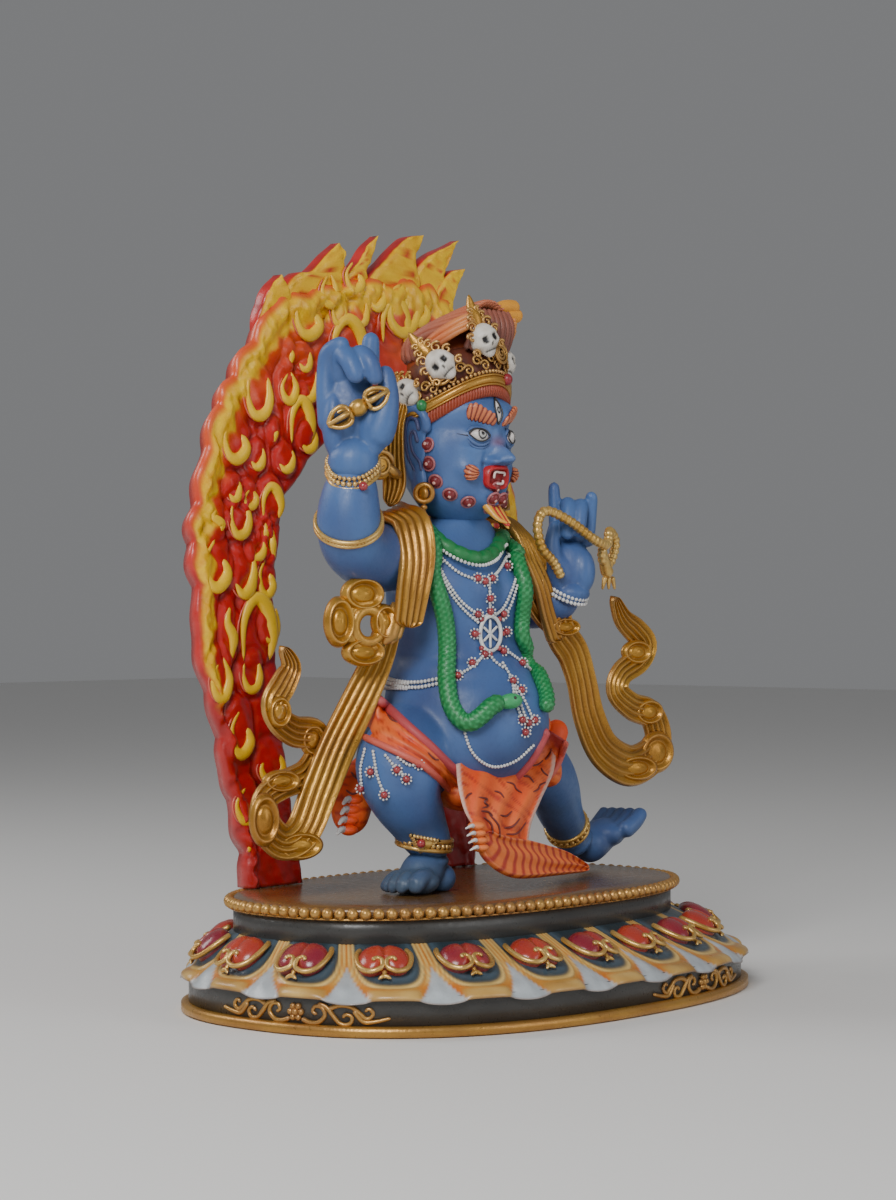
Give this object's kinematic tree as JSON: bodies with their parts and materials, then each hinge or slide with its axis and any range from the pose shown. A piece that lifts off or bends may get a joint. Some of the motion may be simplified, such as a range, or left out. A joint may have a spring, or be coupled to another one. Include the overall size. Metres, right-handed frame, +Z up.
{
  "type": "vajrapani statue",
  "caption": "Painted cast statue of a wrathful blue guardian lunging on an oval lotus base before a horseshoe of flames, with gilt scarves.",
  "frame": {"origin": "on the ground, under the middle of the base", "axes": "+Z up, the figure faces -Y, its raised right hand is on the -X side"},
  "size_m": [0.277, 0.192, 0.3363],
  "materials": {
    "dark_lacquer": "near-black satin lacquer with a slate tone",
    "flame_red": "deep red satin paint, orange where it is thin",
    "flame_yellow": "brushed yellow paint over gold",
    "blue_skin": "matt mid blue paint with slate shading",
    "antique_gold": "old gold with brown in the creases",
    "tiger_orange": "bright orange paint with dark stripes and a pink hem",
    "snake_green": "green paint with pale scales",
    "bead_white": "white painted beads",
    "jewel_red": "glossy dark red drops",
    "hair_orange": "orange-brown paint with combed strands",
    "skull_ivory": "ivory paint with black sockets",
    "lotus_red": "brick red satin paint",
    "petal_slate": "blue-grey satin paint",
    "plate_gold": "glossy dark brown-gold with fine specks"
  },
  "bodies": {
    "root": {"lotus_base": "dark_lacquer", "flame_aureole": "flame_red", "vajrapani_figure": "blue_skin", "right_scarf": "antique_gold", "left_scarf": "antique_gold"}
  },
  "joints": []
}
